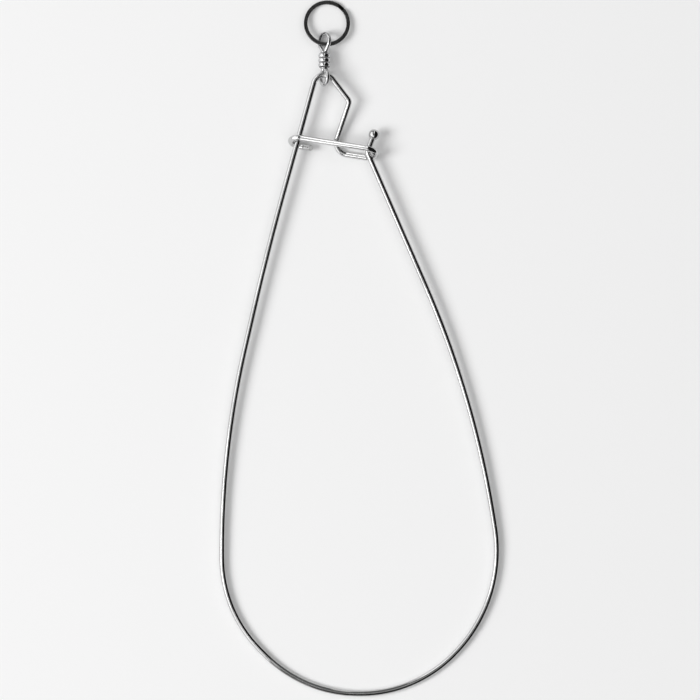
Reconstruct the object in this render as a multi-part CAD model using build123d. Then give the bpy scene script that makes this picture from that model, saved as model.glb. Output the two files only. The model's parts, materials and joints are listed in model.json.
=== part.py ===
from build123d import *
import math
import os

# Fish stringer: a sprung wire hoop with a hooked catch, a barrel swivel and a split ring.
# It lies on its back: +Y runs from the bow to the ring, +Z is up and z = 0 is the surface under it.
# Lengths are millimetres and angles are degrees.

# Hoop wire
wire_d = 4.0
split_gap = 0.1  # between the sprung limb and the bow, which are one wire on the real hoop

# Bow, the round lower end of the hoop
bow_y = -239.62  # centre line at the very bottom
bow_radius = 90.4
bow_flat = 1.8  # straight run at the bottom
bow_diagonal = 5.7  # straight run halfway round the left side
right_diagonal = 0.9
right_shoulder_radius = 102.0  # the bow opens wider toward the sprung limb
bow_end_run = 2.2  # straight run at each end of the bow

# Left limb, which rises from the bow to the eye in two long bends
left_bend_run = 2.57  # straight run from the bow to the first bend
left_bend_reach = 71.5  # length of limb on each side that the bend takes up
left_lean = 13.0
upper_bend_rise = 310.6  # corner of the second bend, above the bottom of the bow
upper_bend_reach = 44.7

# Eye at the top, the arm with its dog-leg and the inner wire down to the catch
eye_corner_x = -27.6
eye_above_bar = 52.4  # corner of the eye, above the front bar on the left limb
eye_bend_radius = 7.4
dogleg_x = -6.9
dogleg_below_eye = 27.1
dogleg_radius = 4.0
foot_x = -18.7
foot_radius = 8.5

# Catch: a front bar and a rear bar joined by a U round the sprung limb
bar_fall = 9.0  # slope of the bars, down to the right
bar_rise = 385.7  # front bar where it crosses the left limb, above the bottom of the bow
bar_step = 6.1  # rear bar below the front bar, seen from above
tail_step = 5.5  # tail below the front bar, seen from above
tail_length = 14.5  # past the axis of the left limb's U
tail_lift = 50.0  # the end of the tail turns up, past the left limb
tail_lift_length = 4.5
tail_radius = 3.5
gate_room = 1.25  # between the right U and the sprung limb, square to the limb at the middle
tail_room = 0.7  # between the left U and the left limb
hook_flat = 0.3  # straight run across each U

# Sprung limb with its ball tip
limb_lean = 8.8
limb_bend_run = 1.1  # straight run from the bow to the limb's bend
limb_bend_reach = 86.6
kink_x = 5.5
kink_below_bar = 2.4
kink_radius = 4.0
neck_length = 13.0
neck_lean = 20.5
ball_d = 7.6
ball_clearance = 0.2  # ball between the bars as it is drawn out
ball_bore_depth = 3.6
ball_bore_clearance = 0.02

# Swivel barrel
barrel_d = 8.5
barrel_length = 9.7
bead_count = 3
groove_depth = 0.75
barrel_wall = 1.3
barrel_cavity_d = 5.8
swivel_side = 0.05  # swivel axis to the right of the top of the eye
swivel_stand_off = 5.5  # barrel face above the centre of the hoop wire

# Swivel eyes
eye_wire_d = 2.7
eye_slack = 3.8  # opening of an eye, beyond the hoop wire
lower_eye_length = 13.6
upper_eye_length = 15.3
lower_eye_turn = 62.0
upper_eye_turn = 49.0
shank_d = 3.0
shank_clearance = 0.1
collar_height = 1.0
collar_clearance = 0.25
head_height = 1.4
head_clearance = 0.25
floor_gap = 0.15

# Split ring
ring_d = 32.0
ring_width = 2.5
coil_height = 1.05
coil_gap = 0.1
coil_edge = 0.3
jog_start = 46.0
jog_turn = 20.0
jog_sections = 7
ring_side = 1.8  # centre of the ring to the right of the swivel axis
ring_stand_off = 21.87  # ring wire above the centre of the hoop wire, along the swivel


def heading(lean):
    """Direction that rises along +Y and leans to the right."""
    return Vector(math.sin(math.radians(lean)), math.cos(math.radians(lean)))


def reach_radius(before, corner, after, reach):
    """Radius of the bend at a corner that takes up a given length of each run."""
    turn = math.radians((corner - before).get_angle(after - corner))
    return reach / math.tan(turn / 2)


def bent_wire(points, radii, diameter):
    """Round wire along straight runs joined by tangent bends."""
    path = FilletPolyline(*points, radius=radii)
    section = Plane(origin=path @ 0, z_dir=path % 0) * Circle(diameter / 2)
    return sweep(section, path=path)


def crossing(point, along, other, other_along):
    """Where two lines seen from above cross."""
    gap = other - point
    share = gap.X * other_along.Y - gap.Y * other_along.X
    return point + along * (share / (along.X * other_along.Y - along.Y * other_along.X))


# Heights of the catch: the ball passes between the bars, and the limbs lie midway
rear_z = wire_d / 2
front_z = rear_z + wire_d + ball_d + 2 * ball_clearance
limb_z = (rear_z + front_z) / 2

# Corners of the bow
bow_reach = bow_radius * math.tan(math.radians(45 / 2))
shoulder_reach = right_shoulder_radius * math.tan(math.radians((45 + limb_lean) / 2))
left_base = Vector(-bow_flat / 2 - bow_reach, bow_y)
left_shoulder = left_base + heading(-45) * (2 * bow_reach + bow_diagonal)
right_base = Vector(bow_flat / 2 + bow_reach, bow_y)
right_shoulder = right_base + heading(45) * (bow_reach + right_diagonal + shoulder_reach)
bow_left_end = left_shoulder + heading(0) * (bow_reach + bow_end_run)
bow_right_end = right_shoulder + heading(-limb_lean) * (shoulder_reach + bow_end_run)

# Corners of the left limb, the eye and the dog-leg
left_bend = bow_left_end + heading(0) * (left_bend_run + left_bend_reach)
upper_bend_step = (bow_y + upper_bend_rise - left_bend.Y) / heading(left_lean).Y
upper_bend = left_bend + heading(left_lean) * upper_bend_step
eye_corner = Vector(eye_corner_x, bow_y + bar_rise + eye_above_bar)
dogleg = Vector(dogleg_x, eye_corner.Y - dogleg_below_eye)

# Lines of the catch, seen from above
bar_way = heading(90 + bar_fall)
bar_down = heading(180 + bar_fall)
limb_way = (eye_corner - upper_bend).normalized()
bar_start = upper_bend + limb_way * ((bow_y + bar_rise - upper_bend.Y) / limb_way.Y)
rear_bar = bar_start + bar_down * bar_step
foot = rear_bar + bar_way * ((foot_x - rear_bar.X) / bar_way.X)
bar_at_kink = bar_start + bar_way * ((kink_x - bar_start.X) / bar_way.X)

# Corners of the sprung limb
kink = bar_at_kink + Vector(0, -kink_below_bar)
limb_start = bow_right_end + heading(-limb_lean) * split_gap
limb_bend = limb_start + heading(-limb_lean) * (limb_bend_run + limb_bend_reach)
ball_center = kink + heading(neck_lean) * neck_length

# The hoop lies in a plane that rises from the bow to the middle of the catch
hoop_slope = (limb_z - wire_d / 2) / (kink.Y - bow_y)


def on_hoop(point):
    """Point of the hoop's plane above a point seen from above."""
    return Vector(point.X, point.Y, wire_d / 2 + (point.Y - bow_y) * hoop_slope)


def at_height(point, height):
    return Vector(point.X, point.Y, height)


def hook_axis(limb_point, limb_along, outward, step, room):
    """Centre of a U's wire, seen from above, where it passes outside a limb."""
    middle = bar_start + bar_down * (step / 2)
    meeting = crossing(middle, bar_way, limb_point, limb_along)
    slant = math.sin(math.radians(limb_along.get_angle(bar_way)))
    return meeting + outward * (wire_d / 2 / slant + room + wire_d / 2)


def make_spring_bow():
    points = [bow_left_end, left_shoulder, left_base, right_base, right_shoulder, bow_right_end]
    radii = [bow_radius, bow_radius, bow_radius, right_shoulder_radius]
    return bent_wire([on_hoop(p) for p in points], radii, wire_d)


def make_frame_wire():
    """Left limb, eye, arm, inner wire, rear bar, U, front bar, U and tail: one length of wire."""
    right_hook = hook_axis(kink, (limb_bend - kink).normalized(), bar_way, bar_step, gate_room)
    left_hook = hook_axis(upper_bend, limb_way, -bar_way, tail_step, tail_room)
    right_rear = at_height(right_hook + bar_down * (bar_step / 2), rear_z)
    right_front = at_height(right_hook - bar_down * (bar_step / 2), front_z)
    left_front = at_height(left_hook - bar_down * (tail_step / 2), front_z)
    left_rear = at_height(left_hook + bar_down * (tail_step / 2), rear_z)
    tail_bend = left_rear + bar_way * (tail_length - tail_lift_length)
    tail_rise = tail_lift_length * math.tan(math.radians(tail_lift))
    tail_end = at_height(left_rear + bar_way * tail_length, rear_z + tail_rise)
    limb = [on_hoop(p) for p in (bow_left_end, left_bend, upper_bend, eye_corner, dogleg)]
    hooks = [right_rear, right_front, left_front, left_rear]
    catch = [at_height(foot, rear_z), *hooks, tail_bend, tail_end]
    right_radius = ((right_front - right_rear).length - hook_flat) / 2
    left_radius = ((left_front - left_rear).length - hook_flat) / 2
    radii = [
        reach_radius(*limb[0:3], left_bend_reach),
        reach_radius(*limb[1:4], upper_bend_reach),
        eye_bend_radius,
        dogleg_radius,
        foot_radius,
        right_radius,
        right_radius,
        left_radius,
        left_radius,
        tail_radius,
    ]
    return bent_wire(limb + catch, radii, wire_d)


def make_gate_limb():
    neck_end = kink + heading(neck_lean) * (neck_length - ball_d / 2 + ball_bore_depth)
    points = [on_hoop(p) for p in (limb_start, limb_bend, kink, neck_end)]
    radii = [reach_radius(*points[0:3], limb_bend_reach), kink_radius]
    return bent_wire(points, radii, wire_d)


def make_tip_ball():
    """Ball with a blind bore for the end of the neck."""
    center = on_hoop(ball_center)
    neck_way = (center - on_hoop(kink)).normalized()
    bore_radius = wire_d / 2 + ball_bore_clearance
    bore_end = center + neck_way * (ball_bore_depth - ball_d / 2 + ball_bore_clearance)
    bore = extrude(Plane(origin=bore_end, z_dir=-neck_way) * Circle(bore_radius), amount=ball_d)
    return Pos(center) * Sphere(ball_d / 2) - bore


# Swivel axis: it hangs on the top of the eye and falls until the upper eye meets the surface
to_limb = (upper_bend - eye_corner).normalized()
to_arm = (dogleg - eye_corner).normalized()
eye_half_angle = math.radians(to_limb.get_angle(to_arm) / 2)
eye_middle = eye_corner + (to_limb + to_arm).normalized() * (eye_bend_radius / math.sin(eye_half_angle))
swivel_pivot = on_hoop(eye_middle + Vector(swivel_side, eye_bend_radius))
loop_radius = (wire_d + eye_slack + eye_wire_d) / 2
upper_loop = swivel_stand_off + barrel_length + upper_eye_length - eye_wire_d / 2 - loop_radius
loop_drop = loop_radius * math.sin(math.radians(upper_eye_turn))
swivel_drop = swivel_pivot.Z - eye_wire_d / 2 - floor_gap
swivel_tilt = math.asin(swivel_drop / math.hypot(upper_loop, loop_drop)) - math.atan2(loop_drop, upper_loop)
swivel_axis = Vector(0, math.cos(swivel_tilt), -math.sin(swivel_tilt))
swivel_up = Vector(0, math.sin(swivel_tilt), math.cos(swivel_tilt))
barrel_foot = swivel_pivot + swivel_axis * swivel_stand_off
barrel_top = barrel_foot + swivel_axis * barrel_length


def make_swivel_barrel():
    """Hollow beaded barrel, turned in at both ends over the heads of the eyes."""
    crest = barrel_d / 2
    groove = crest - groove_depth
    mouth = shank_d / 2 + shank_clearance
    cavity = barrel_cavity_d / 2
    pitch = barrel_length / bead_count
    outline = [Line((mouth, 0), (groove, 0))]
    for bead in range(bead_count):
        low = bead * pitch
        outline.append(ThreePointArc((groove, low), (crest, low + pitch / 2), (groove, low + pitch)))
    outline.append(
        Polyline(
            (groove, barrel_length),
            (mouth, barrel_length),
            (mouth, barrel_length - barrel_wall),
            (cavity, barrel_length - barrel_wall),
            (cavity, barrel_wall),
            (mouth, barrel_wall),
            (mouth, 0),
        )
    )
    barrel = revolve(make_face(outline), Axis.Y)
    side = Vector(1, 0, 0)
    return Plane(origin=barrel_foot, x_dir=side, z_dir=side.cross(swivel_axis)) * barrel


def make_swivel_eye(length, turn, face, outward):
    """Pear-shaped wire eye with a collar, a round shank through the barrel's end and a head inside."""
    leg_x = eye_wire_d / 2
    leg_y = collar_clearance + collar_height
    loop_y = length - eye_wire_d / 2 - loop_radius
    to_center = math.hypot(leg_x, loop_y - leg_y)
    spread = math.asin(loop_radius / to_center) - math.atan2(leg_x, loop_y - leg_y)
    leg = math.sqrt(to_center**2 - loop_radius**2)
    tangent = Vector(leg_x + leg * math.sin(spread), leg_y + leg * math.cos(spread))
    across = Vector(-tangent.X, tangent.Y)
    right_leg = Line((leg_x, leg_y), tangent)
    bend = ThreePointArc(tangent, (0, loop_y + loop_radius), across)
    left_leg = Line(across, (-leg_x, leg_y))
    path = Wire([right_leg, bend, left_leg])
    loop = sweep(Plane(origin=path @ 0, z_dir=path % 0) * Circle(eye_wire_d / 2), path=path)
    head_y = -barrel_wall - head_clearance
    head_radius = barrel_cavity_d / 2 - head_clearance
    stem_outline = Polyline(
        (0, head_y - head_height),
        (head_radius, head_y - head_height),
        (head_radius, head_y),
        (shank_d / 2, head_y),
        (shank_d / 2, collar_clearance),
        (eye_wire_d, collar_clearance),
        (eye_wire_d, collar_clearance + collar_height),
        (0, collar_clearance + collar_height),
        close=True,
    )
    eye = loop + revolve(make_face(stem_outline), Axis.Y)
    side = Vector(math.cos(math.radians(turn)), 0, 0) + swivel_up * math.sin(math.radians(turn))
    return Plane(origin=face, x_dir=side, z_dir=side.cross(outward)) * eye


def make_split_ring():
    """Flat wire in two coils, with a jog from one coil to the other and two cut ends."""
    middle = (ring_d - ring_width) / 2
    coil_rise = (coil_height + coil_gap) / 2

    def section(angle, height):
        radial = Vector(math.cos(math.radians(angle)), math.sin(math.radians(angle)))
        place = Plane(origin=radial * middle + Vector(0, 0, height), x_dir=radial, z_dir=Vector(0, 0, 1).cross(radial))
        return place * RectangleRounded(ring_width, coil_height, coil_edge)

    jog_end = jog_start + jog_turn
    steps = [k / (jog_sections - 1) for k in range(jog_sections)]
    ease = [coil_rise * (6 * s**2 - 4 * s**3 - 1) for s in steps]
    jog = loft([section(jog_start + jog_turn * s, rise) for s, rise in zip(steps, ease)])
    lower_coil = revolve(section(jog_end, -coil_rise), Axis.Z, 360 - jog_turn)
    upper_coil = revolve(section(jog_end, coil_rise), Axis.Z, 360 - jog_turn)
    # The ring's wire crosses the swivel axis, and its far side lies on the surface
    grip = swivel_pivot + swivel_axis * ring_stand_off
    swing = math.asin(ring_side / middle)
    ring_fall = math.asin((grip.Z - coil_rise - coil_height / 2 - floor_gap) / (2 * middle))
    tangent = Vector(math.cos(swing), -math.sin(swing), 0)
    level = Vector(math.sin(swing), math.cos(swing), 0)
    center_way = level * math.cos(ring_fall) - Vector(0, 0, math.sin(ring_fall))
    place = Plane(origin=grip + center_way * middle, x_dir=tangent, z_dir=tangent.cross(center_way))
    return place * (lower_coil + jog + upper_coil)


parts = {
    "frame_wire": make_frame_wire(),
    "spring_bow": make_spring_bow(),
    "gate_limb": make_gate_limb(),
    "tip_ball": make_tip_ball(),
    "swivel_lower_eye": make_swivel_eye(lower_eye_length, lower_eye_turn, barrel_foot, -swivel_axis),
    "swivel_barrel": make_swivel_barrel(),
    "swivel_upper_eye": make_swivel_eye(upper_eye_length, upper_eye_turn, barrel_top, swivel_axis),
    "split_ring": make_split_ring(),
}

os.makedirs("parts", exist_ok=True)
for name, shape in parts.items():
    export_step(shape, f"parts/{name}.step")
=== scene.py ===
import json
import math
import bmesh
import bpy
from mathutils import Matrix, Vector


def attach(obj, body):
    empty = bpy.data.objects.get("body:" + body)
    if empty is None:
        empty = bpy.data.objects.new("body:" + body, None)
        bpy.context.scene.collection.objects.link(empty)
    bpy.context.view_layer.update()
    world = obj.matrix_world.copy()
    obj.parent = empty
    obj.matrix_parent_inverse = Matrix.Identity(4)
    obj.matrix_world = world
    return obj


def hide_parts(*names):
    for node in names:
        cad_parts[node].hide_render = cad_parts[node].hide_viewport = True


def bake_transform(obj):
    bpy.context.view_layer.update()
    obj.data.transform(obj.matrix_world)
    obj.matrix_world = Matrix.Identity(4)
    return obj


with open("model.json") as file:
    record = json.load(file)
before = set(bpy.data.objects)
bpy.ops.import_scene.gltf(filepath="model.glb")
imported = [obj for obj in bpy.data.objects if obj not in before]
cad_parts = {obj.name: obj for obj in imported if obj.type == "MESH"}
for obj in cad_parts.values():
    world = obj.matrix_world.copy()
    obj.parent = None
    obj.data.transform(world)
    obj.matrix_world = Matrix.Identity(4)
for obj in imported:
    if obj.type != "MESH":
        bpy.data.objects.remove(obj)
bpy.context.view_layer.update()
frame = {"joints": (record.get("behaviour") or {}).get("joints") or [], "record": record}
joints = {joint["name"]: joint for joint in frame["joints"]}
mm = 0.001

bpy.context.scene.view_settings.view_transform = "Standard"


# node trees: arithmetic on a socket adds Math nodes, and node() adds anything else
class Sock:
    def __init__(self, tree, out=None):
        self.tree = tree
        self.out = out

    def node(self, kind, settings=None, sockets=None, give=0):
        made = self.tree.nodes.new(kind)
        for key, value in (settings or {}).items():
            if key == "capture":
                made.capture_items.new(*value)
            else:
                setattr(made, key, value)
        for key, value in (sockets or {}).items():
            if isinstance(value, Sock):
                self.tree.links.new(value.out, made.inputs[key])
            else:
                made.inputs[key].default_value = value
        return Sock(self.tree, made.outputs[give])

    def sibling(self, give):
        return Sock(self.tree, self.out.node.outputs[give])

    def math(self, operation, *values):
        return self.node("ShaderNodeMath", {"operation": operation}, dict(enumerate(values)))

    def __add__(self, other):
        return self.math("ADD", self, other)

    def __radd__(self, other):
        return self.math("ADD", other, self)

    def __sub__(self, other):
        return self.math("SUBTRACT", self, other)

    def __rsub__(self, other):
        return self.math("SUBTRACT", other, self)

    def __mul__(self, other):
        return self.math("MULTIPLY", self, other)

    def __rmul__(self, other):
        return self.math("MULTIPLY", other, self)

    def absolute(self):
        return self.math("ABSOLUTE", self)

    def ramp(self, low, high):  # 0 below low, 1 above high
        return self.node("ShaderNodeMapRange", {"interpolation_type": "SMOOTHSTEP"},
                         {"Value": self, "From Min": low, "From Max": high})

    def blend(self, first, second):  # two colours, this value as the factor
        return self.node("ShaderNodeMix", {"data_type": "RGBA"}, {0: self, 6: first, 7: second}, give=2)

    def stretch(self, x, y, z):  # a vector with its three parts scaled
        return self.node("ShaderNodeVectorMath", {"operation": "MULTIPLY"}, {0: self, 1: (x, y, z)})

    def noise(self, scale, detail=2.0, rough=0.5):
        return self.node("ShaderNodeTexNoise", None,
                         {"Vector": self, "Scale": scale, "Detail": detail, "Roughness": rough})

    def place(self):
        return self.node("ShaderNodeTexCoord", give="Object")

    def stored(self, name, give="Fac"):  # what the mesh keeps under this name
        return self.node("ShaderNodeAttribute", {"attribute_name": name}, give=give)


def newFinish(name):
    finish = bpy.data.materials.new(name)
    finish.use_nodes = True
    tree = finish.node_tree
    return finish, Sock(tree), tree.nodes["Principled BSDF"]


shaderSockets = {
    "color": "Base Color", "rough": "Roughness", "metal": "Metallic", "normal": "Normal",
    "specular": "Specular IOR Level", "glow": "Emission Color", "glowLevel": "Emission Strength",
}


def feed(shader, **sockets):
    for key, value in sockets.items():
        target = shader.inputs[shaderSockets[key]]
        if isinstance(value, Sock):
            value.tree.links.new(value.out, target)
        else:
            target.default_value = value


def bump(height, strength, depth):
    return height.node("ShaderNodeBump", None, {"Strength": strength, "Distance": depth, "Height": height},
                       give="Normal")


def grey(shade):
    return (shade, shade, shade, 1)


# finishes: a grain is a scale along and twice across, a noise its scale, detail and roughness,
# limits are those of a ramp, and a bump is its strength and its depth in metres
def drawnSteel(name, look):
    finish, sheet, shader = newFinish(name)
    place = sheet.place()
    wire = sheet.stored("wireCoord", "Vector")
    bend = sheet.stored("bendRadius")
    cut = sheet.stored("cut")
    dieLines = wire.stretch(*look["lineGrain"]).noise(*look["lineNoise"])
    nicks = wire.stretch(*look["nickGrain"]).noise(*look["nickNoise"]).ramp(*look["nickLimits"])
    haze = place.noise(*look["hazeNoise"])
    smear = place.noise(*look["smearNoise"])
    formed = bend.ramp(*look["tightLimits"]) * (1 - bend.ramp(*look["wideLimits"]))
    rub = place.noise(*look["rubNoise"]).ramp(*look["rubLimits"]) * formed  # by the bending pins
    tone = haze.ramp(*look["toneLimits"]).blend(look["dull"], look["bright"])
    tone = (dieLines.ramp(*look["lineLimits"]) * look["lineShare"]).blend(tone, look["line"])
    tone = (nicks * look["nickShare"]).blend(tone, look["nick"])
    tone = (rub * look["rubShare"]).blend(tone, look["rubbed"])
    tone = (cut * look["sawnShare"]).blend(tone, look["sawn"])
    rough = look["rough"] + haze.ramp(*look["hazeLimits"]) * look["hazeRough"]
    rough = rough + smear.ramp(*look["smearLimits"]) * look["smearRough"]
    rough = rough + rub * look["rubRough"] + nicks * look["nickRough"] + cut * look["sawnRough"]
    metal = 1 - cut * look["sawnDull"]
    relief = dieLines * look["lineDepth"] - nicks * look["nickDepth"] + rub * look["rubDepth"]
    feed(shader, color=tone, rough=rough, metal=metal, normal=bump(relief, *look["bump"]))
    return finish


hoopLook = {
    "bright": grey(0.655), "dull": grey(0.555), "toneLimits": (0.3, 0.7), "rough": 0.055,
    "line": grey(0.395), "lineGrain": (18.0, 5200.0, 5200.0), "lineNoise": (1.0, 3.0, 0.6),
    "lineLimits": (0.35, 0.75), "lineShare": 0.35, "lineDepth": 0.6,
    "nick": grey(0.195), "nickGrain": (900.0, 700.0, 700.0), "nickNoise": (1.0, 1.0),
    "nickLimits": (0.69, 0.76), "nickShare": 0.6, "nickRough": 0.15, "nickDepth": 0.8,
    "hazeNoise": (38.0, 4.0, 0.6), "hazeLimits": (0.35, 0.75), "hazeRough": 0.045,
    "smearNoise": (11.0, 2.0), "smearLimits": (0.5, 0.8), "smearRough": 0.035,
    "tightLimits": (0.0005, 0.002), "wideLimits": (0.010, 0.014),
    "rubbed": grey(0.735), "rubNoise": (900.0, 3.0, 0.7), "rubLimits": (0.45, 0.65),
    "rubShare": 0.5, "rubRough": 0.12, "rubDepth": 0.2,
    "sawn": (0.795, 0.795, 0.79, 1), "sawnShare": 0.8, "sawnRough": 0.4, "sawnDull": 0.85,
    "bump": (0.35, 0.00004),
}
hoopSteel = drawnSteel("hoopSteel", hoopLook)
ballSteel = drawnSteel("ballSteel", {
    **hoopLook, "lineShare": 0.15, "lineDepth": 0.15, "hazeNoise": (160.0, 4.0, 0.6),
})
eyeNickel = drawnSteel("eyeNickel", {
    **hoopLook, "bright": (0.665, 0.665, 0.67, 1), "dull": (0.525, 0.525, 0.53, 1), "rough": 0.13,
    "line": (0.35, 0.35, 0.355, 1), "lineGrain": (40.0, 4200.0, 4200.0),
    "hazeNoise": (150.0, 4.0, 0.6), "smearNoise": (60.0, 2.0),
})


def barrelFinish(name, look):
    finish, sheet, shader = newFinish(name)
    recess = sheet.stored("recess")
    lathe = sheet.stored("wireCoord", "Vector").stretch(*look["latheGrain"]).noise(*look["latheNoise"])
    grime = sheet.place().noise(*look["grimeNoise"])
    spread = (grime - look["grimeMiddle"]) * look["grimeSpread"]
    # painted shade: darker, duller and rougher down in the grooves between the beads and at the ends by the
    # mouths, broken up by the grime noise
    grooveShade = (recess * look["grooveShadeDepth"] + spread).ramp(*look["grooveShadeLimits"])
    wear = (1 - recess).ramp(*look["crestLimits"]) * grime.ramp(*look["wearLimits"])
    tone = grime.ramp(*look["toneLimits"]).blend(look["dull"], look["bright"])
    tone = (wear * look["wornShare"]).blend(tone, look["worn"])
    tone = (grooveShade * look["grooveShadeShare"]).blend(tone, look["grooveShade"])
    rough = look["rough"] + grime.ramp(*look["roughLimits"]) * look["grimeRough"]
    rough = rough + grooveShade * look["grooveShadeRough"] - wear * look["wornSmooth"]
    metal = 1 - grooveShade * look["grooveShadeDull"]
    relief = lathe * look["latheRelief"] + grime * look["grimeRelief"]
    feed(shader, color=tone, rough=rough, metal=metal, normal=bump(relief, *look["bump"]))
    return finish


barrelNickel = barrelFinish("barrelNickel", {
    "bright": (0.685, 0.685, 0.69, 1), "dull": (0.535, 0.535, 0.54, 1), "toneLimits": (0.3, 0.7),
    "latheGrain": (6000.0, 30.0, 30.0), "latheNoise": (1.0, 2.0, 0.6), "latheRelief": 0.35,
    "grimeNoise": (420.0, 4.0, 0.65), "grimeMiddle": 0.5, "grimeSpread": 0.9, "grimeRelief": 0.3,
    "rough": 0.14, "roughLimits": (0.4, 0.8), "grimeRough": 0.1,
    # painted shade in the grooves: its tone, depth, limits and share, and how much rougher and less metallic
    # it makes the surface
    "grooveShade": grey(0.05), "grooveShadeDepth": 1.25, "grooveShadeLimits": (0.55, 1.05),
    "grooveShadeShare": 0.85, "grooveShadeRough": 0.35, "grooveShadeDull": 0.45,
    "worn": (0.72, 0.715, 0.70, 1), "crestLimits": (0.7, 1.0), "wearLimits": (0.5, 0.7),
    "wornShare": 0.35, "wornSmooth": 0.04, "bump": (0.3, 0.00004),
})


def ringFinish(name, look):
    finish, sheet, shader = newFinish(name)
    wire = sheet.stored("wireCoord", "Vector")
    side = wire.node("ShaderNodeSeparateXYZ", None, {0: wire}, give=1)
    rise = side.sibling(2)
    edge = side.absolute().ramp(*look["sideLimits"]) * rise.absolute().ramp(*look["faceLimits"])
    lines = wire.stretch(*look["lineGrain"]).noise(*look["lineNoise"])
    patch = sheet.place().noise(*look["patchNoise"])
    wear = edge * (patch * look["patchWear"] + lines * look["lineWear"]).ramp(*look["wearLimits"])
    tone = patch.ramp(*look["toneLimits"]).blend(look["dark"], look["light"])
    tone = (lines.ramp(*look["lineLimits"]) * look["lineShare"]).blend(tone, look["line"])
    tone = (wear * look["wornShare"]).blend(tone, look["worn"])
    rough = look["rough"] + patch.ramp(*look["roughLimits"]) * look["patchRough"]
    rough = rough + lines * look["lineRough"] - wear * look["wornSmooth"]
    relief = lines * look["lineRelief"] + patch * look["patchRelief"]
    feed(shader, color=tone, rough=rough, metal=1.0, normal=bump(relief, *look["bump"]))
    return finish


ringSpringSteel = ringFinish("ringSpringSteel", {
    "dark": grey(0.032), "light": grey(0.058), "toneLimits": (0.3, 0.7),
    "line": grey(0.115), "lineGrain": (30.0, 5000.0, 5000.0), "lineNoise": (1.0, 3.0, 0.65),
    "lineLimits": (0.5, 0.8), "lineShare": 0.35, "lineRough": 0.06, "lineRelief": 0.6,
    "patchNoise": (160.0, 4.0, 0.6), "patchRough": 0.1, "patchRelief": 0.2,
    "rough": 0.24, "roughLimits": (0.35, 0.75),
    "worn": grey(0.455), "sideLimits": (0.00082, 0.00122), "faceLimits": (0.00024, 0.0005),
    "patchWear": 0.8, "lineWear": 0.6, "wearLimits": (0.45, 0.95), "wornShare": 0.8, "wornSmooth": 0.12,
    "bump": (0.3, 0.00003),
})
print("finishes made")


# geometry nodes: a section swept along a path of straight runs and rounded corners
def sweptTree(name, flat):
    tree = bpy.data.node_groups.new(name, "GeometryNodeTree")
    sizes = [("Path", "NodeSocketGeometry"), ("Finish", "NodeSocketMaterial"), ("Sides", "NodeSocketInt")]
    sizes += [(label, "NodeSocketFloat") for label in (("Width", "Height", "Edge") if flat else ("Radius",))]
    for label, kind in sizes:
        tree.interface.new_socket(label, in_out="INPUT", socket_type=kind)
    tree.interface.new_socket("Mesh", in_out="OUTPUT", socket_type="NodeSocketGeometry")
    start = tree.nodes.new("NodeGroupInput")
    end = tree.nodes.new("NodeGroupOutput")
    given = {label: Sock(tree, start.outputs[label]) for label, _ in sizes}
    bench = Sock(tree)
    radius = bench.node("GeometryNodeInputNamedAttribute", {"data_type": "FLOAT"}, {"Name": "bendRadius"})
    steps = bench.node("GeometryNodeInputNamedAttribute", {"data_type": "INT"}, {"Name": "bendSteps"})
    path = bench.node("GeometryNodeMeshToCurve", None, {"Mesh": given["Path"]})
    path = bench.node("GeometryNodeFilletCurve", {"mode": "POLY"},
                      {"Curve": path, "Count": steps, "Radius": radius})
    length = bench.node("GeometryNodeSplineParameter", give="Length")
    path = bench.node("GeometryNodeCaptureAttribute", {"capture": ("FLOAT", "along")}, {0: path, 1: length})
    along = path.sibling(1)
    if flat:
        path = bench.node("GeometryNodeSetCurveNormal", {"mode": "Z_UP"}, {"Curve": path})
        section = bench.node("GeometryNodeCurvePrimitiveQuadrilateral", {"mode": "RECTANGLE"},
                             {"Width": given["Width"], "Height": given["Height"]})
        section = bench.node("GeometryNodeFilletCurve", {"mode": "POLY"},
                             {"Curve": section, "Count": given["Sides"], "Radius": given["Edge"]})
    else:
        section = bench.node("GeometryNodeCurvePrimitiveCircle", {"mode": "RADIUS"},
                             {"Resolution": given["Sides"], "Radius": given["Radius"]})
    spot = bench.node("GeometryNodeInputPosition")
    section = bench.node("GeometryNodeCaptureAttribute", {"capture": ("VECTOR", "spot")},
                         {0: section, 1: spot})
    parts = bench.node("ShaderNodeSeparateXYZ", None, {0: section.sibling(1)})
    coord = bench.node("ShaderNodeCombineXYZ", None, {0: along, 1: parts, 2: parts.sibling(1)})
    solid = bench.node("GeometryNodeCurveToMesh", None,
                       {"Curve": path, "Profile Curve": section, "Fill Caps": True})
    solid = bench.node("GeometryNodeStoreNamedAttribute", {"data_type": "FLOAT_VECTOR", "domain": "POINT"},
                       {"Geometry": solid, "Name": "wireCoord", "Value": coord})
    solid = bench.node("GeometryNodeRealizeInstances", None, {"Geometry": solid})
    solid = bench.node("GeometryNodeSetMaterial", None, {"Geometry": solid, "Material": given["Finish"]})
    tree.links.new(solid.out, end.inputs["Mesh"])
    return tree


roundWire = sweptTree("roundWire", False)
flatWire = sweptTree("flatWire", True)

# steps of a bend: how many at least, and the most degrees and millimetres of each
bendSteps = {"fewest": 8, "degrees": 3, "length": 3}


def cornerTurn(before, corner, after):
    return (corner - before).angle(after - corner)


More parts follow.
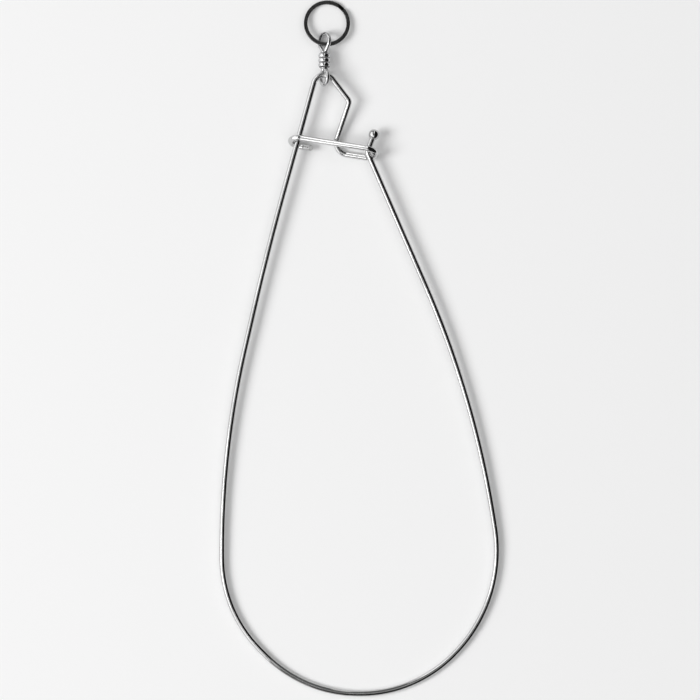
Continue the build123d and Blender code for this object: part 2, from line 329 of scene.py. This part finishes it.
def sweep(name, tree, corners, bends, finish, sizes):
    # corners and bends in millimetres; a bend of 0 leaves the corner as it is
    guide = bpy.data.meshes.new(name + "Path")
    guide.from_pydata([corner * mm for corner in corners], [(k, k + 1) for k in range(len(corners) - 1)], [])
    for label, kind in (("bendRadius", "FLOAT"), ("bendSteps", "INT")):
        guide.attributes.new(label, kind, "POINT")
    radius, steps = (guide.attributes[label].data for label in ("bendRadius", "bendSteps"))
    for k, bend in enumerate(bends, 1):
        turn = cornerTurn(*corners[k - 1:k + 2])
        byAngle = math.ceil(math.degrees(turn) / bendSteps["degrees"])
        byLength = math.ceil(bend * turn / bendSteps["length"])
        radius[k].value = bend * mm
        steps[k].value = max(bendSteps["fewest"], byAngle, byLength)
    holder = bpy.data.objects.new(name + "Path", guide)
    bpy.context.scene.collection.objects.link(holder)
    modifier = holder.modifiers.new("wire", "NODES")
    modifier.node_group = tree
    given = {**sizes, "Finish": finish}
    for item in tree.interface.items_tree:
        if item.in_out == "INPUT" and item.name in given:
            modifier[item.identifier] = given[item.name]
    graph = bpy.context.evaluated_depsgraph_get()
    shaped = holder.evaluated_get(graph)
    mesh = bpy.data.meshes.new_from_object(shaped, preserve_all_data_layers=True, depsgraph=graph)
    bpy.data.objects.remove(holder)
    mesh.name = name
    for face in mesh.polygons:
        face.use_smooth = len(face.vertices) == 4
    return mesh


def breakEnd(mesh, spot, size):
    # breaks the sharp rim of the cut end nearest to a spot, and marks the cut
    shape = bmesh.new()
    shape.from_mesh(mesh)

    def nearestCap():
        caps = [face for face in shape.faces if len(face.verts) > 4]
        return min(caps, key=lambda face: (face.calc_center_median() - spot).length)

    cutLayer = shape.verts.layers.float.new("cut")
    rim = list(nearestCap().edges)
    bmesh.ops.bevel(shape, geom=rim, offset=size, segments=3, profile=0.6, affect="EDGES", clamp_overlap=True)
    for vert in nearestCap().verts:
        vert[cutLayer] = 1.0
    shape.to_mesh(mesh)
    shape.free()


def addPiece(name, mesh):
    piece = bpy.data.objects.new(name, mesh)
    bpy.context.scene.collection.objects.link(piece)
    return piece


# hoop wire, laid out as it is bent: lengths in millimetres, angles in degrees
hoop = {
    "wire": 4.0, "sides": 40, "split": 0.1,
    "bowBottom": -239.62, "bowRadius": 90.4, "bowTurn": 45.0, "bowFlat": 1.8, "bowDiagonal": 5.7,
    "bowEndRun": 2.2, "rightDiagonal": 0.9, "rightShoulder": 102.0,
    "leftRun": 2.57, "leftReach": 71.5, "leftLean": 13.0, "upperRise": 310.6, "upperReach": 44.7,
    "eyeX": -27.6, "eyeAboveBar": 52.4, "eyeBend": 7.4,
    "dogX": -6.9, "dogDrop": 27.1, "dogBend": 4.0, "footX": -18.7, "footBend": 8.5,
    "barRise": 385.7, "barFall": 9.0, "barStep": 6.1, "hookFlat": 0.3, "gateRoom": 1.25,
    "tailRoom": 0.7, "tailStep": 5.5, "tailLength": 14.5, "tailBend": 3.5,
    "tailLift": 50.0, "tailLiftLength": 4.5, "cutBreak": 0.35,
    "limbLean": 8.8, "limbRun": 1.1, "limbReach": 86.6,
    "kinkX": 5.5, "kinkDrop": 2.4, "kinkBend": 4.0, "neck": 13.0, "neckLean": 20.5,
    "ball": 7.6, "ballRoom": 0.2, "ballSink": 3.6,
}


def heading(lean):
    return Vector((math.sin(math.radians(lean)), math.cos(math.radians(lean)), 0))


def crossing(point, along, other, otherAlong):
    gap = other - point
    share = gap.x * otherAlong.y - gap.y * otherAlong.x
    return point + along * (share / (along.x * otherAlong.y - along.y * otherAlong.x))


def reachBend(before, corner, after, reach):
    return reach / math.tan(cornerTurn(before, corner, after) / 2)


def layOutHoop(h):
    up = Vector((0, 0, 1))
    low = h["wire"] / 2
    high = low + h["wire"] + h["ball"] + 2 * h["ballRoom"]
    bottom = h["bowBottom"]
    turn = h["bowTurn"]
    bowReach = h["bowRadius"] * math.tan(math.radians(turn / 2))
    limbUp = heading(-h["limbLean"])
    shoulderReach = h["rightShoulder"] * math.tan(math.radians((turn + h["limbLean"]) / 2))
    leftBase = Vector((-h["bowFlat"] / 2 - bowReach, bottom, 0))
    leftShoulder = leftBase + heading(-turn) * (2 * bowReach + h["bowDiagonal"])
    rightBase = Vector((h["bowFlat"] / 2 + bowReach, bottom, 0))
    rightShoulder = rightBase + heading(turn) * (bowReach + h["rightDiagonal"] + shoulderReach)
    leftEnd = leftShoulder + heading(0) * (bowReach + h["bowEndRun"])
    rightEnd = rightShoulder + limbUp * (shoulderReach + h["bowEndRun"])
    leftBend = leftEnd + heading(0) * (h["leftRun"] + h["leftReach"])
    leftUp = heading(h["leftLean"])
    upperBend = leftBend + leftUp * ((bottom + h["upperRise"] - leftBend.y) / leftUp.y)
    eye = Vector((h["eyeX"], bottom + h["barRise"] + h["eyeAboveBar"], 0))
    dogleg = Vector((h["dogX"], eye.y - h["dogDrop"], 0))

    # catch
    barWay = heading(90 + h["barFall"])
    barDown = heading(180 + h["barFall"])
    leftWay = (eye - upperBend).normalized()
    barStart = upperBend + leftWay * ((bottom + h["barRise"] - upperBend.y) / leftWay.y)
    rearBar = barStart + barDown * h["barStep"]
    foot = rearBar + barWay * ((h["footX"] - rearBar.x) / barWay.x)
    kink = barStart + barWay * ((h["kinkX"] - barStart.x) / barWay.x) - Vector((0, h["kinkDrop"], 0))
    limbStart = rightEnd + limbUp * h["split"]
    limbBend = limbStart + limbUp * (h["limbRun"] + h["limbReach"])
    slope = ((low + high) / 2 - low) / (kink.y - bottom)

    def onHoop(point):
        return point + up * (low + (point.y - bottom) * slope)

    def hook(limbPoint, limbAlong, outward, step, room):
        middle = barStart + barDown * (step / 2)
        meeting = crossing(middle, barWay, limbPoint, limbAlong)
        slant = math.sin(limbAlong.angle(barWay))
        axis = meeting + outward * (h["wire"] / 2 / slant + room + h["wire"] / 2)
        return axis + barDown * (step / 2) + up * low, axis - barDown * (step / 2) + up * high

    rightRear, rightFront = hook(kink, (limbBend - kink).normalized(), barWay, h["barStep"], h["gateRoom"])
    leftRear, leftFront = hook(upperBend, leftWay, -barWay, h["tailStep"], h["tailRoom"])
    rightRadius = ((rightFront - rightRear).length - h["hookFlat"]) / 2
    leftRadius = ((leftFront - leftRear).length - h["hookFlat"]) / 2
    tailBend = leftRear + barWay * (h["tailLength"] - h["tailLiftLength"])
    tailRise = h["tailLiftLength"] * math.tan(math.radians(h["tailLift"]))
    tailEnd = tailBend + barWay * h["tailLiftLength"] + up * tailRise

    framePath = [onHoop(p) for p in (leftEnd, leftBend, upperBend, eye, dogleg)]
    framePath += [foot + up * low, rightRear, rightFront, leftFront, leftRear, tailBend, tailEnd]
    frameBends = [reachBend(*framePath[0:3], h["leftReach"]), reachBend(*framePath[1:4], h["upperReach"])]
    frameBends += [h["eyeBend"], h["dogBend"], h["footBend"]]
    frameBends += [rightRadius, rightRadius, leftRadius, leftRadius, h["tailBend"]]
    bowPath = [onHoop(p) for p in (leftEnd, leftShoulder, leftBase, rightBase, rightShoulder, rightEnd)]
    neckWay = heading(h["neckLean"])
    neckEnd = kink + neckWay * (h["neck"] - h["ball"] / 2 + h["ballSink"])
    gatePath = [onHoop(p) for p in (limbStart, limbBend, kink, neckEnd)]
    gateBends = [reachBend(*gatePath[0:3], h["limbReach"]), h["kinkBend"]]
    ballSpot = onHoop(kink + neckWay * h["neck"])
    return {
        "frame": (framePath, frameBends), "gate": (gatePath, gateBends),
        "bow": (bowPath, [h["bowRadius"]] * 3 + [h["rightShoulder"]]),
        "ball": ballSpot, "neckWay": (ballSpot - onHoop(kink)).normalized(),
    }


paths = layOutHoop(hoop)
wireSizes = {"Radius": hoop["wire"] / 2 * mm, "Sides": hoop["sides"]}

frameMesh = sweep("hoopFrame", roundWire, *paths["frame"], hoopSteel, wireSizes)
breakEnd(frameMesh, paths["frame"][0][-1] * mm, hoop["cutBreak"] * mm)
hoopFrame = addPiece("hoopFrame", frameMesh)
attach(hoopFrame, "hoop")
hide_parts("frame_wire")

hoopGate = addPiece("hoopGate", sweep("hoopGate", roundWire, *paths["gate"], hoopSteel, wireSizes))
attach(hoopGate, "gate")
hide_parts("gate_limb")

bowPath, bowBends = paths["bow"]
bowStart = bowPath[0] * mm
hoopBow = addPiece("hoopBow", sweep("hoopBow", roundWire, bowPath, bowBends, hoopSteel, wireSizes))
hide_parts("spring_bow")
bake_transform(hoopBow)
print("hoop wire bent")


# turned pieces: an outline of (radius, height) spun about an axis, in millimetres and degrees
turning = {"onAxis": 1e-6, "crease": 40.0}


def turned(name, outline, origin, axis, segments, finish, recess=None):
    shape = bmesh.new()
    coordLayer = shape.verts.layers.float_vector.new("wireCoord")
    recessLayer = shape.verts.layers.float.new("recess")
    rings = []
    side = axis.orthogonal().normalized()
    other = axis.cross(side)
    for radius, height in outline:
        ring = []
        for k in range(segments if radius > turning["onAxis"] else 1):
            angle = 2 * math.pi * k / segments
            out = side * math.cos(angle) + other * math.sin(angle)
            vert = shape.verts.new((origin + out * radius + axis * height) * mm)
            vert[coordLayer] = Vector((height, radius * math.cos(angle), radius * math.sin(angle))) * mm
            vert[recessLayer] = recess(radius) if recess else 0.0
            ring.append(vert)
        rings.append(ring)
    for low, high in zip(rings, rings[1:] + rings[:1]):
        if len(low) == 1 and len(high) == 1:
            continue
        for k in range(segments):
            after = k + 1
            quad = [low[k % len(low)], low[after % len(low)], high[after % len(high)], high[k % len(high)]]
            shape.faces.new(list(dict.fromkeys(quad)))
    bmesh.ops.recalc_face_normals(shape, faces=shape.faces[:])
    for face in shape.faces:
        face.smooth = True
    for edge in shape.edges:
        edge.smooth = edge.calc_face_angle(0.0) < math.radians(turning["crease"])
    mesh = bpy.data.meshes.new(name)
    shape.to_mesh(mesh)
    shape.free()
    mesh.materials.append(finish)
    return mesh


def arc(centerRadius, centerHeight, size, start, end, steps):
    # outline points on a round: 0 points outward, 90 points up the axis
    turns = [math.radians(start + (end - start) * k / steps) for k in range(steps + 1)]
    return [(centerRadius + size * math.cos(a), centerHeight + size * math.sin(a)) for a in turns]


ball = {"segments": 64, "arcSteps": 44, "weld": 0.45, "weldSteps": 6, "boreRoom": 0.02}


def ballOutline(b):
    # the ball, with a small cove where it is joined to the neck and a bore for the neck's end
    radius = hoop["ball"] / 2
    neck = hoop["wire"] / 2
    cove = b["weld"]
    bore = neck + b["boreRoom"]
    boreEnd = hoop["ballSink"] - radius + b["boreRoom"]
    drop = math.sqrt((radius + cove) ** 2 - (neck + cove) ** 2)
    lean = math.degrees(math.atan2(drop, neck + cove))
    coveEnd = math.degrees(math.acos((bore - neck - cove) / cove))
    outline = arc(0, 0, radius, 90, -lean, b["arcSteps"])
    outline[0] = (0.0, radius)
    outline += arc(neck + cove, -drop, cove, 180 - lean, coveEnd, b["weldSteps"])[1:]
    return outline + [(bore, boreEnd), (0.0, boreEnd)]


ballMesh = turned("tipBall", ballOutline(ball), paths["ball"], paths["neckWay"], ball["segments"], ballSteel)
tipBall = addPiece("tipBall", ballMesh)
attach(tipBall, "gate")
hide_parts("tip_ball")


# swivel: its axis comes from the frame's joints; a bead is fuller than a plain arc, with a narrow valley
swivel = {
    "barrel": 8.5, "length": 9.7, "segments": 80, "wall": 1.3, "cavity": 5.8, "lip": 0.32, "lipSteps": 6,
    "beads": 3, "groove": 0.75, "beadSteps": 22, "beadPower": 0.75,
    "wire": 2.7, "wireSides": 32, "loop": 5.25, "loopSteps": 72, "legBend": 1.6, "legFoot": 0.8,
    "lowerLength": 13.6, "upperLength": 15.3, "lowerTurn": 62.0, "upperTurn": 49.0,
    "shank": 3.0, "room": 0.1, "collar": 1.0, "collarRoom": 0.25, "head": 1.4, "headRoom": 0.25,
    "edge": 0.25, "edgeSteps": 4, "stemSegments": 48,
}
barrelFoot = Vector(joints["barrel_turn"]["pos_m"]) / mm
barrelTop = Vector(joints["upper_eye_turn"]["pos_m"]) / mm
swivelAxis = Vector(joints["barrel_turn"]["axis"]).normalized()
swivelUp = Vector((1, 0, 0)).cross(swivelAxis)


def barrelOutline(s):
    valley = s["barrel"] / 2 - s["groove"]
    mouth = s["shank"] / 2 + s["room"]
    pitch = s["length"] / s["beads"]
    lip = s["lip"]
    steps = s["beadSteps"]
    outline = arc(mouth + lip, lip, lip, 180, 270, s["lipSteps"])
    for k in range(steps * s["beads"] + 1):
        swell = abs(math.sin(math.pi * k / steps)) ** s["beadPower"]
        outline.append((valley + s["groove"] * swell, pitch * k / steps))
    outline += arc(mouth + lip, s["length"] - lip, lip, 90, 180, s["lipSteps"])
    outline += [(mouth, s["length"] - s["wall"]), (s["cavity"] / 2, s["length"] - s["wall"])]
    return outline + [(s["cavity"] / 2, s["wall"]), (mouth, s["wall"])]


def barrelRecess(radius):
    return min(1.0, max(0.0, (swivel["barrel"] / 2 - radius) / swivel["groove"]))


barrelMesh = turned("swivelBarrel", barrelOutline(swivel), barrelFoot, swivelAxis, swivel["segments"],
                    barrelNickel, barrelRecess)
swivelBarrel = addPiece("swivelBarrel", barrelMesh)
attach(swivelBarrel, "barrel")
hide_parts("swivel_barrel")


def eyePath(s, length):
    # pear loop in its own plane: up out of the collar, round and down into it again
    legX = s["wire"] / 2
    legY = s["collarRoom"] + s["collar"]
    footY = legY - s["legFoot"]
    loopY = length - s["wire"] / 2 - s["loop"]
    toCenter = math.hypot(legX, loopY - legY)
    spread = math.asin(s["loop"] / toCenter) - math.atan2(legX, loopY - legY)
    points = [(legX, footY), (legX, legY)]
    for k in range(s["loopSteps"] + 1):
        angle = -spread + (math.pi + 2 * spread) * k / s["loopSteps"]
        points.append((s["loop"] * math.cos(angle), loopY + s["loop"] * math.sin(angle)))
    return points + [(-legX, legY), (-legX, footY)]


def stemOutline(s):
    headY = -s["wall"] - s["headRoom"]
    headRadius = s["cavity"] / 2 - s["headRoom"]
    shank = s["shank"] / 2
    collarLow = s["collarRoom"]
    collarHigh = collarLow + s["collar"]
    edge = s["edge"]
    steps = s["edgeSteps"]
    outline = [(0.0, headY - s["head"]), (headRadius - edge, headY - s["head"])]
    outline += arc(headRadius - edge, headY - s["head"] + edge, edge, 270, 360, steps)[1:]
    outline += [(headRadius, headY), (shank, headY), (shank, collarLow)]
    outline += arc(s["wire"] - edge, collarLow + edge, edge, 270, 360, steps)
    outline += arc(s["wire"] - edge, collarHigh - edge, edge, 0, 90, steps)
    return outline + [(0.0, collarHigh)]


def joined(name, meshes):
    pieces = [addPiece(name, mesh) for mesh in meshes]
    with bpy.context.temp_override(active_object=pieces[0], object=pieces[0], selected_objects=pieces,
                                   selected_editable_objects=pieces):
        bpy.ops.object.join()
    return pieces[0]


def swivelEye(name, s, length, turn, face, outward):
    side = Vector((math.cos(math.radians(turn)), 0, 0)) + swivelUp * math.sin(math.radians(turn))
    corners = [face + side * x + outward * y for x, y in eyePath(s, length)]
    bends = [s["legBend"]] + [0.0] * (len(corners) - 4) + [s["legBend"]]
    sizes = {"Radius": s["wire"] / 2 * mm, "Sides": s["wireSides"]}
    loop = sweep(name, roundWire, corners, bends, eyeNickel, sizes)
    stem = turned(name + "Stem", stemOutline(s), face, outward, s["stemSegments"], eyeNickel)
    return joined(name, [loop, stem])


lowerEye = swivelEye("swivelLowerEye", swivel, swivel["lowerLength"], swivel["lowerTurn"], barrelFoot,
                     -swivelAxis)
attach(lowerEye, "lower_eye")
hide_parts("swivel_lower_eye")

upperEye = swivelEye("swivelUpperEye", swivel, swivel["upperLength"], swivel["upperTurn"], barrelTop,
                     swivelAxis)
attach(upperEye, "upper_eye")
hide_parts("swivel_upper_eye")
print("swivel made")


# split ring: flat wire in two coils, with the jog between them
ring = {
    "across": 32.0, "width": 2.5, "coil": 1.05, "gap": 0.1, "edge": 0.3, "edgeSides": 4,
    "jogStart": 46.0, "jogTurn": 20.0, "steps": 290,
}


def ringPath(r):
    middle = (r["across"] - r["width"]) / 2
    rise = (r["coil"] + r["gap"]) / 2
    coil = 360 - r["jogTurn"]
    start = r["jogStart"] + r["jogTurn"]
    whole = 2 * coil + r["jogTurn"]
    corners = []
    for k in range(r["steps"] + 1):
        run = whole * k / r["steps"]
        share = min(1.0, max(0.0, (run - coil) / r["jogTurn"]))
        angle = math.radians(start + run)
        height = rise * (6 * share ** 2 - 4 * share ** 3 - 1)  # eased from the lower coil to the upper
        corners.append(Vector((middle * math.cos(angle), middle * math.sin(angle), height)))
    return corners


ringMount = frame["record"]["mounts"][0]
ringNormal = Vector(ringMount["axis"]).normalized()
ringSide = Vector(joints["ring_swing"]["axis"]).normalized()
ringTurn = Matrix((ringSide, ringNormal.cross(ringSide), ringNormal)).transposed()
ringCorners = ringPath(ring)
ringBends = [0.0] * (len(ringCorners) - 2)
ringSizes = {
    "Width": ring["width"] * mm, "Height": ring["coil"] * mm, "Edge": ring["edge"] * mm,
    "Sides": ring["edgeSides"],
}
ringMesh = sweep("splitRing", flatWire, ringCorners, ringBends, ringSpringSteel, ringSizes)
ringMesh.transform(Matrix.Translation(Vector(ringMount["pos_m"])) @ ringTurn.to_4x4())
splitRing = addPiece("splitRing", ringMesh)
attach(splitRing, "ring")
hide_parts("split_ring")
print("split ring wound")


# floor
floorLook = {"half": 12.0, "shade": 0.90, "tooth": (900.0, 2.0), "toothShade": 0.985, "rough": 0.9}


def floorFinish(look):
    finish, sheet, shader = newFinish("paleFloor")
    tooth = sheet.place().noise(*look["tooth"])
    tone = tooth.blend(grey(look["shade"]), grey(look["shade"] * look["toothShade"]))
    feed(shader, color=tone, rough=look["rough"], metal=0.0, specular=0.0)
    return finish


def level(xs, ys, height):
    return [(xs[0], ys[0], height), (xs[1], ys[0], height), (xs[1], ys[1], height), (xs[0], ys[1], height)]


def addSheet(name, corners, finish):
    mesh = bpy.data.meshes.new(name)
    mesh.from_pydata(corners, [], [(0, 1, 2, 3)])
    mesh.materials.append(finish)
    return addPiece(name, mesh)


floorEnds = (-floorLook["half"], floorLook["half"])
floor = addSheet("floor", level(floorEnds, floorEnds, 0), floorFinish(floorLook))


# light: a round key on the left, a wide fill overhead that isn't mirrored, and an even room
lights = {
    "key": {"shape": "DISK", "spot": (-4.0, -0.45, 3.8), "across": 3.0, "power": 206.0, "mirrored": True},
    "fill": {"shape": "SQUARE", "spot": (0.0, 0.0, 3.0), "across": 6.0, "power": 60.0, "mirrored": False},
}
room = {"shade": (1, 1, 1, 1), "level": 0.26}


def addLight(name, look):
    lamp = bpy.data.lights.new(name, "AREA")
    lamp.shape = look["shape"]
    lamp.size = look["across"]
    lamp.energy = look["power"]
    holder = bpy.data.objects.new(name, lamp)
    holder.location = look["spot"]
    holder.rotation_euler = (-holder.location).to_track_quat("-Z", "Y").to_euler()
    holder.visible_camera = False
    holder.visible_glossy = look["mirrored"]
    bpy.context.scene.collection.objects.link(holder)


for name, look in lights.items():
    addLight(name, look)

world = bpy.data.worlds.new("studio")
world.use_nodes = True
world.node_tree.nodes["Background"].inputs["Color"].default_value = room["shade"]
world.node_tree.nodes["Background"].inputs["Strength"].default_value = room["level"]
bpy.context.scene.world = world


# glowing white, grey and black cards round the object, which are no lamps: only the metal's reflections see
# them, so they paint bright and dark reflections onto it
cardLevels = {"bright": 2.4, "white": 1.6, "soft": 0.9, "mid": 0.16, "grey": 0.05, "black": 0.012}
bars = {"x": -0.022, "y": 0.14, "above": 1.2}  # the catch, and the height of the cards over it


def addCard(name, glowLevel, corners):
    finish, _, shader = newFinish(name)
    feed(shader, color=grey(0), rough=1.0, metal=0.0, specular=0.0, glow=grey(1), glowLevel=glowLevel)
    card = addSheet(name, corners, finish)
    for rays in ("camera", "diffuse", "transmission", "volume_scatter", "shadow"):
        setattr(card, "visible_" + rays, False)


def wall(start, end, low, high):
    return [(*start, low), (*end, low), (*end, high), (*start, high)]


def strip(front, back):
    # level and square across the catch's bars, from (y, half width) to (y, half width)
    sides = []
    for y, half in (front, back):
        middle = bars["x"] + (y - bars["y"]) * math.tan(math.radians(hoop["barFall"]))
        sides.append([(middle - half, y, bars["above"]), (middle + half, y, bars["above"])])
    return sides[0] + sides[1][::-1]


cards = {
    "leftCard": ("white", wall((-0.8, -1.1), (-0.8, 1.3), 0.1, 0.7)),
    "overCard": ("white", level((-0.8, -0.42), (-0.9, 1.2), 0.8)),
    "barCard": ("soft", strip((-0.3, 0.06), (0.55, 0.06))),
    "barCardFront": ("bright", strip((-3.6, 0.3), (-0.3, 0.06))),
    "barCardBack": ("bright", strip((0.55, 0.06), (3.8, 0.3))),
    "rightFlag": ("black", wall((0.4, -1.6), (0.4, 1.6), 0.0, 2.6)),
    "roofFlag": ("grey", level((-2.8, 0.4), (0.12, 2.5), 2.6)),
    "frontFlag": ("black", wall((-0.1, -0.42), (0.3, -0.42), 0.0, 0.45)),
    "bowFlag": ("mid", wall((-0.045, -0.2), (0.02, -0.2), 0.02, 0.25)),
    "bowFrontFlag": ("mid", wall((-0.085, -0.27), (-0.015, -0.27), 0.03, 0.3)),
}
for name, (tone, corners) in cards.items():
    addCard(name, cardLevels[tone], corners)


# camera: straight above, as the photograph is framed
view = {"spot": (-0.00659, -0.00105), "height": 4.5, "across": 0.4858, "plane": 0.004, "sensor": 36.0}
camera = bpy.data.cameras.new("camera")
camera.sensor_width = view["sensor"]
camera.lens = view["sensor"] * (view["height"] - view["plane"]) / view["across"]
cameraHolder = bpy.data.objects.new("camera", camera)
cameraHolder.location = (*view["spot"], view["height"])
bpy.context.scene.collection.objects.link(cameraHolder)
bpy.context.scene.camera = cameraHolder
print("studio set")
